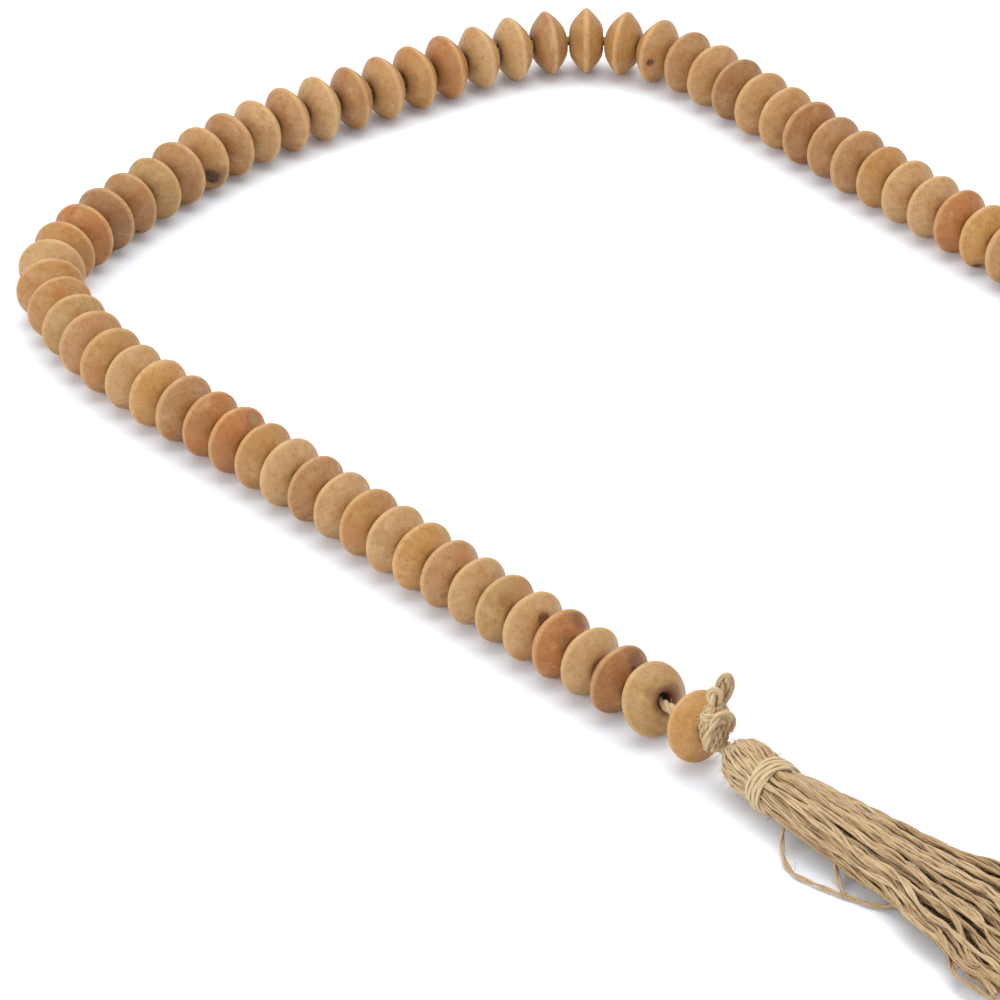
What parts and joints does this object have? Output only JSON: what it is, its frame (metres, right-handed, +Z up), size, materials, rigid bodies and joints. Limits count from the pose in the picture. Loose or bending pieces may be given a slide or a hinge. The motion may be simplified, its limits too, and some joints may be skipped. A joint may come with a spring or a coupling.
{
  "type": "misbaha prayer beads",
  "caption": "Strand of turned lens-shaped wooden prayer beads threaded on jute twine, lying in an open bend, with a knotted jute tassel at one end.",
  "frame": {"origin": "on the surface it lies on, under the middle of the laid-out strand's bounding box", "axes": "+Z up from the surface, +Y along the longest side of the laid-out strand, away from the tassel, +X to the right with the tassel nearest"},
  "size_m": [0.3362, 0.5222, 0.0288],
  "materials": {
    "bead_wood": "satin turned wood with fine grain, varied from bead to bead",
    "jute_twine": "coarse natural jute twine",
    "tassel_yarn": "two-ply jute yarn with loose fibres",
    "binding_yarn": "pale jute yarn wound side by side"
  },
  "bodies": {
    "bead_01": {"bead_01": "bead_wood"},
    "bead_02": {"bead_02": "bead_wood"},
    "bead_03": {"bead_03": "bead_wood"},
    "bead_04": {"bead_04": "bead_wood"},
    "bead_05": {"bead_05": "bead_wood"},
    "beads_06_07": {"beads_06_07": "bead_wood"},
    "beads_08_09": {"beads_08_09": "bead_wood"},
    "beads_10_11": {"beads_10_11": "bead_wood"},
    "beads_12_13": {"beads_12_13": "bead_wood"},
    "beads_14_15": {"beads_14_15": "bead_wood"},
    "beads_16_17": {"beads_16_17": "bead_wood"},
    "beads_18_19": {"beads_18_19": "bead_wood"},
    "beads_20_21": {"beads_20_21": "bead_wood"},
    "bead_22": {"bead_22": "bead_wood"},
    "bead_23": {"bead_23": "bead_wood"},
    "bead_24": {"bead_24": "bead_wood"},
    "bead_25": {"bead_25": "bead_wood"},
    "bead_26": {"bead_26": "bead_wood"},
    "bead_27": {"bead_27": "bead_wood", "stringing_twine": "jute_twine"},
    "bead_28": {"bead_28": "bead_wood"},
    "bead_29": {"bead_29": "bead_wood"},
    "bead_30": {"bead_30": "bead_wood"},
    "bead_31": {"bead_31": "bead_wood"},
    "bead_32": {"bead_32": "bead_wood"},
    "bead_33": {"bead_33": "bead_wood"},
    "bead_34": {"bead_34": "bead_wood"},
    "bead_35": {"bead_35": "bead_wood"},
    "bead_36": {"bead_36": "bead_wood"},
    "bead_37": {"bead_37": "bead_wood"},
    "bead_38": {"bead_38": "bead_wood"},
    "bead_39": {"bead_39": "bead_wood"},
    "bead_40": {"bead_40": "bead_wood"},
    "bead_41": {"bead_41": "bead_wood"},
    "bead_42": {"bead_42": "bead_wood"},
    "bead_43": {"bead_43": "bead_wood"},
    "bead_44": {"bead_44": "bead_wood"},
    "bead_45": {"bead_45": "bead_wood"},
    "bead_46": {"bead_46": "bead_wood"},
    "bead_47": {"bead_47": "bead_wood"},
    "bead_48": {"bead_48": "bead_wood"},
    "bead_49": {"bead_49": "bead_wood"},
    "bead_50": {"bead_50": "bead_wood"},
    "beads_51_52": {"beads_51_52": "bead_wood"},
    "beads_53_54": {"beads_53_54": "bead_wood"},
    "beads_55_56": {"beads_55_56": "bead_wood"},
    "beads_57_58": {"beads_57_58": "bead_wood"},
    "beads_59_60": {"beads_59_60": "bead_wood"},
    "beads_61_62": {"beads_61_62": "bead_wood"},
    "beads_63_64": {"beads_63_64": "bead_wood"},
    "beads_65_66": {"beads_65_66": "bead_wood"},
    "tassel_knot": {"tassel_knot": "jute_twine", "knot_loop": "jute_twine"},
    "tassel": {"tassel_head": "tassel_yarn", "tassel_binding": "binding_yarn", "tassel_skirt": "tassel_yarn", "loose_yarn": "tassel_yarn"},
    "stop_knot": {"stop_knot": "jute_twine", "twine_tail": "jute_twine"}
  },
  "joints": [
    {"name": "bend_27_28", "type": "hinge", "parent": "bead_27", "child": "bead_28", "pos_m": [-0.15729, 0.10726, 0.01], "axis": [0, 0, 1], "range_deg": [-5.4, 34.6], "deforming": ["stringing_twine"]},
    {"name": "bend_28_29", "type": "hinge", "parent": "bead_28", "child": "bead_29", "pos_m": [-0.15277, 0.11813, 0.01], "axis": [0, 0, 1], "range_deg": [-14.1, 25.9], "deforming": ["stringing_twine"]},
    {"name": "bend_29_30", "type": "hinge", "parent": "bead_29", "child": "bead_30", "pos_m": [-0.14717, 0.12848, 0.01], "axis": [0, 0, 1], "range_deg": [-16.4, 23.6], "deforming": ["stringing_twine"]},
    {"name": "bend_30_31", "type": "hinge", "parent": "bead_30", "child": "bead_31", "pos_m": [-0.14093, 0.13847, 0.01], "axis": [0, 0, 1], "range_deg": [-17.2, 22.8], "deforming": ["stringing_twine"]},
    {"name": "bend_31_32", "type": "hinge", "parent": "bead_31", "child": "bead_32", "pos_m": [-0.1342, 0.14814, 0.01], "axis": [0, 0, -1], "range_deg": [-19.8, 20.2], "deforming": ["stringing_twine"]},
    {"name": "bend_32_33", "type": "hinge", "parent": "bead_32", "child": "bead_33", "pos_m": [-0.1275, 0.15783, 0.01], "axis": [0, 0, -1], "range_deg": [-19.7, 20.3], "deforming": ["stringing_twine"]},
    {"name": "bend_33_34", "type": "hinge", "parent": "bead_33", "child": "bead_34", "pos_m": [-0.12086, 0.16756, 0.01], "axis": [0, 0, -1], "range_deg": [-23.2, 16.8], "deforming": ["stringing_twine"]},
    {"name": "bend_34_35", "type": "hinge", "parent": "bead_34", "child": "bead_35", "pos_m": [-0.11369, 0.1769, 0.01], "axis": [0, 0, -1], "range_deg": [-23.5, 16.5], "deforming": ["stringing_twine"]},
    {"name": "bend_35_36", "type": "hinge", "parent": "bead_35", "child": "bead_36", "pos_m": [-0.10597, 0.1858, 0.01], "axis": [0, 0, -1], "range_deg": [-24.5, 15.5], "deforming": ["stringing_twine"]},
    {"name": "bend_36_37", "type": "hinge", "parent": "bead_36", "child": "bead_37", "pos_m": [-0.09757, 0.19405, 0.01], "axis": [0, 0, -1], "range_deg": [-24.8, 15.2], "deforming": ["stringing_twine"]},
    {"name": "bend_37_38", "type": "hinge", "parent": "bead_37", "child": "bead_38", "pos_m": [-0.0885, 0.20157, 0.01], "axis": [0, 0, -1], "range_deg": [-22.2, 17.8], "deforming": ["stringing_twine"]},
    {"name": "bend_38_39", "type": "hinge", "parent": "bead_38", "child": "bead_39", "pos_m": [-0.07915, 0.20873, 0.01], "axis": [0, 0, -1], "range_deg": [-22.2, 17.8], "deforming": ["stringing_twine"]},
    {"name": "bend_39_40", "type": "hinge", "parent": "bead_39", "child": "bead_40", "pos_m": [-0.06953, 0.21552, 0.01], "axis": [0, 0, 1], "range_deg": [-21.1, 18.9], "deforming": ["stringing_twine"]},
    {"name": "bend_40_41", "type": "hinge", "parent": "bead_40", "child": "bead_41", "pos_m": [-0.06003, 0.22249, 0.01], "axis": [0, 0, 1], "range_deg": [-22, 18], "deforming": ["stringing_twine"]},
    {"name": "bend_41_42", "type": "hinge", "parent": "bead_41", "child": "bead_42", "pos_m": [-0.05078, 0.22978, 0.01], "axis": [0, 0, 1], "range_deg": [-17, 23], "deforming": ["stringing_twine"]},
    {"name": "bend_42_43", "type": "hinge", "parent": "bead_42", "child": "bead_43", "pos_m": [-0.04115, 0.23657, 0.01], "axis": [0, 0, 1], "range_deg": [-16.6, 23.4], "deforming": ["stringing_twine"]},
    {"name": "bend_43_44", "type": "hinge", "parent": "bead_43", "child": "bead_44", "pos_m": [-0.03114, 0.24277, 0.01], "axis": [0, 0, 1], "range_deg": [-14.3, 25.7], "deforming": ["stringing_twine"]},
    {"name": "bend_44_45", "type": "hinge", "parent": "bead_44", "child": "bead_45", "pos_m": [-0.02057, 0.24795, 0.01], "axis": [0, 0, 1], "range_deg": [-10, 30], "deforming": ["stringing_twine"]},
    {"name": "bend_45_46", "type": "hinge", "parent": "bead_45", "child": "bead_46", "pos_m": [-0.00928, 0.2512, 0.01], "axis": [0, 0, 1], "range_deg": [-3.2, 36.8], "deforming": ["stringing_twine"]},
    {"name": "bend_46_47", "type": "hinge", "parent": "bead_46", "child": "bead_47", "pos_m": [0.00246, 0.25105, 0.01], "axis": [0, 0, 1], "range_deg": [-2.2, 37.8], "deforming": ["stringing_twine"]},
    {"name": "bend_47_48", "type": "hinge", "parent": "bead_47", "child": "bead_48", "pos_m": [0.01358, 0.24732, 0.01], "axis": [0, 0, -1], "range_deg": [-36.3, 3.7], "deforming": ["stringing_twine"]},
    {"name": "bend_48_49", "type": "hinge", "parent": "bead_48", "child": "bead_49", "pos_m": [0.02322, 0.24061, 0.01], "axis": [0, 0, -1], "range_deg": [-32.5, 7.5], "deforming": ["stringing_twine"]},
    {"name": "bend_49_50", "type": "hinge", "parent": "bead_49", "child": "bead_50", "pos_m": [0.03119, 0.23197, 0.01], "axis": [0, 0, -1], "range_deg": [-25.8, 14.2], "deforming": ["stringing_twine"]},
    {"name": "bend_50_51", "type": "hinge", "parent": "bead_50", "child": "beads_51_52", "pos_m": [0.03827, 0.22255, 0.01], "axis": [0, 0, -1], "range_deg": [-21.1, 18.9], "deforming": ["stringing_twine"]},
    {"name": "bend_52_53", "type": "hinge", "parent": "beads_51_52", "child": "beads_53_54", "pos_m": [0.05208, 0.20346, 0.01], "axis": [0, 0, -1], "range_deg": [-20.4, 19.6], "deforming": ["stringing_twine"]},
    {"name": "bend_54_55", "type": "hinge", "parent": "beads_53_54", "child": "beads_55_56", "pos_m": [0.06576, 0.18428, 0.01], "axis": [0, 0, -1], "range_deg": [-20.8, 19.2], "deforming": ["stringing_twine"]},
    {"name": "bend_56_57", "type": "hinge", "parent": "beads_55_56", "child": "beads_57_58", "pos_m": [0.07917, 0.1649, 0.01], "axis": [0, 0, 1], "range_deg": [-21.8, 18.2], "deforming": ["stringing_twine"]},
    {"name": "bend_58_59", "type": "hinge", "parent": "beads_57_58", "child": "beads_59_60", "pos_m": [0.09317, 0.14596, 0.01], "axis": [0, 0, 1], "range_deg": [-20.7, 19.3], "deforming": ["stringing_twine"]},
    {"name": "bend_60_61", "type": "hinge", "parent": "beads_59_60", "child": "beads_61_62", "pos_m": [0.10739, 0.12718, 0.01], "axis": [0, 0, 1], "range_deg": [-19.9, 20.1], "deforming": ["stringing_twine"]},
    {"name": "bend_62_63", "type": "hinge", "parent": "beads_61_62", "child": "beads_63_64", "pos_m": [0.12159, 0.10838, 0.01], "axis": [0, 0, 1], "range_deg": [-19.8, 20.2], "deforming": ["stringing_twine"]},
    {"name": "bend_64_65", "type": "hinge", "parent": "beads_63_64", "child": "beads_65_66", "pos_m": [0.13572, 0.08952, 0.01], "axis": [0, 0, -1], "range_deg": [-20.1, 19.9], "deforming": ["stringing_twine"]},
    {"name": "bend_26_27", "type": "hinge", "parent": "bead_27", "child": "bead_26", "pos_m": [-0.15892, 0.09564, 0.01], "axis": [0, 0, 1], "range_deg": [-38, 2], "deforming": ["stringing_twine"]},
    {"name": "bend_25_26", "type": "hinge", "parent": "bead_26", "child": "bead_25", "pos_m": [-0.15689, 0.0841, 0.01], "axis": [0, 0, 1], "range_deg": [-31.9, 8.1], "deforming": ["stringing_twine"]},
    {"name": "bend_24_25", "type": "hinge", "parent": "bead_25", "child": "bead_24", "pos_m": [-0.15251, 0.07316, 0.01], "axis": [0, 0, 1], "range_deg": [-22.8, 17.2], "deforming": ["stringing_twine"]},
    {"name": "bend_23_24", "type": "hinge", "parent": "bead_24", "child": "bead_23", "pos_m": [-0.14758, 0.06246, 0.01], "axis": [0, 0, 1], "range_deg": [-23.9, 16.1], "deforming": ["stringing_twine"]},
    {"name": "bend_22_23", "type": "hinge", "parent": "bead_23", "child": "bead_22", "pos_m": [-0.14194, 0.05213, 0.01], "axis": [0, 0, -1], "range_deg": [-16.3, 23.7], "deforming": ["stringing_twine"]},
    {"name": "bend_21_22", "type": "hinge", "parent": "bead_22", "child": "beads_20_21", "pos_m": [-0.13564, 0.04218, 0.01], "axis": [0, 0, -1], "range_deg": [-14.2, 25.8], "deforming": ["stringing_twine"]},
    {"name": "bend_19_20", "type": "hinge", "parent": "beads_20_21", "child": "beads_18_19", "pos_m": [-0.12111, 0.02365, 0.01], "axis": [0, 0, -1], "range_deg": [-17.3, 22.7], "deforming": ["stringing_twine"]},
    {"name": "bend_17_18", "type": "hinge", "parent": "beads_18_19", "child": "beads_16_17", "pos_m": [-0.10572, 0.00582, 0.01], "axis": [0, 0, -1], "range_deg": [-21.4, 18.6], "deforming": ["stringing_twine"]},
    {"name": "bend_15_16", "type": "hinge", "parent": "beads_16_17", "child": "beads_14_15", "pos_m": [-0.09077, -0.0124, 0.01], "axis": [0, 0, -1], "range_deg": [-20.5, 19.5], "deforming": ["stringing_twine"]},
    {"name": "bend_13_14", "type": "hinge", "parent": "beads_14_15", "child": "beads_12_13", "pos_m": [-0.07598, -0.03073, 0.01], "axis": [0, 0, 1], "range_deg": [-19.4, 20.6], "deforming": ["stringing_twine"]},
    {"name": "bend_11_12", "type": "hinge", "parent": "beads_12_13", "child": "beads_10_11", "pos_m": [-0.06137, -0.04922, 0.01], "axis": [0, 0, 1], "range_deg": [-20.1, 19.9], "deforming": ["stringing_twine"]},
    {"name": "bend_09_10", "type": "hinge", "parent": "beads_10_11", "child": "beads_08_09", "pos_m": [-0.04675, -0.06769, 0.01], "axis": [0, 0, 1], "range_deg": [-20.2, 19.8], "deforming": ["stringing_twine"]},
    {"name": "bend_07_08", "type": "hinge", "parent": "beads_08_09", "child": "beads_06_07", "pos_m": [-0.03206, -0.08611, 0.01], "axis": [0, 0, 1], "range_deg": [-20.3, 19.7], "deforming": ["stringing_twine"]},
    {"name": "bend_05_06", "type": "hinge", "parent": "beads_06_07", "child": "bead_05", "pos_m": [-0.01726, -0.10444, 0.01], "axis": [0, 0, -1], "range_deg": [-19.5, 20.5], "deforming": ["stringing_twine"]},
    {"name": "bend_04_05", "type": "hinge", "parent": "bead_05", "child": "bead_04", "pos_m": [-0.00979, -0.11355, 0.01], "axis": [0, 0, -1], "range_deg": [-19.8, 20.2], "deforming": ["stringing_twine"]},
    {"name": "bend_03_04", "type": "hinge", "parent": "bead_04", "child": "bead_03", "pos_m": [-0.00229, -0.12263, 0.01], "axis": [0, 0, -1], "range_deg": [-20, 20], "deforming": ["stringing_twine"]},
    {"name": "bend_02_03", "type": "hinge", "parent": "bead_03", "child": "bead_02", "pos_m": [0.00602, -0.13252, 0.00958], "axis": [0, 0, -1], "range_deg": [-22.5, 17.5], "deforming": ["stringing_twine"]},
    {"name": "stop_knot_bend", "type": "hinge", "parent": "beads_65_66", "child": "stop_knot", "pos_m": [0.1498, 0.07064, 0.01], "axis": [0, 0, -1], "range_deg": [-20, 20], "deforming": ["stringing_twine"]},
    {"name": "slack_bend", "type": "hinge", "parent": "bead_02", "child": "tassel_knot", "pos_m": [0.01583, -0.14469, 0.01064], "axis": [0, 0, -1], "range_deg": [-20, 20], "deforming": ["stringing_twine"]},
    {"name": "bead_01_slide", "type": "slide", "parent": "tassel_knot", "child": "bead_01", "axis": [-0.6323, 0.7747, 0], "range_m": [0, 0.0045], "deforming": ["stringing_twine"]},
    {"name": "tassel_swivel", "type": "hinge", "parent": "tassel_knot", "child": "tassel", "pos_m": [0.02721, -0.15932, 0.0085], "axis": [0, 0, 1], "range_deg": [-40, 40]}
  ]
}
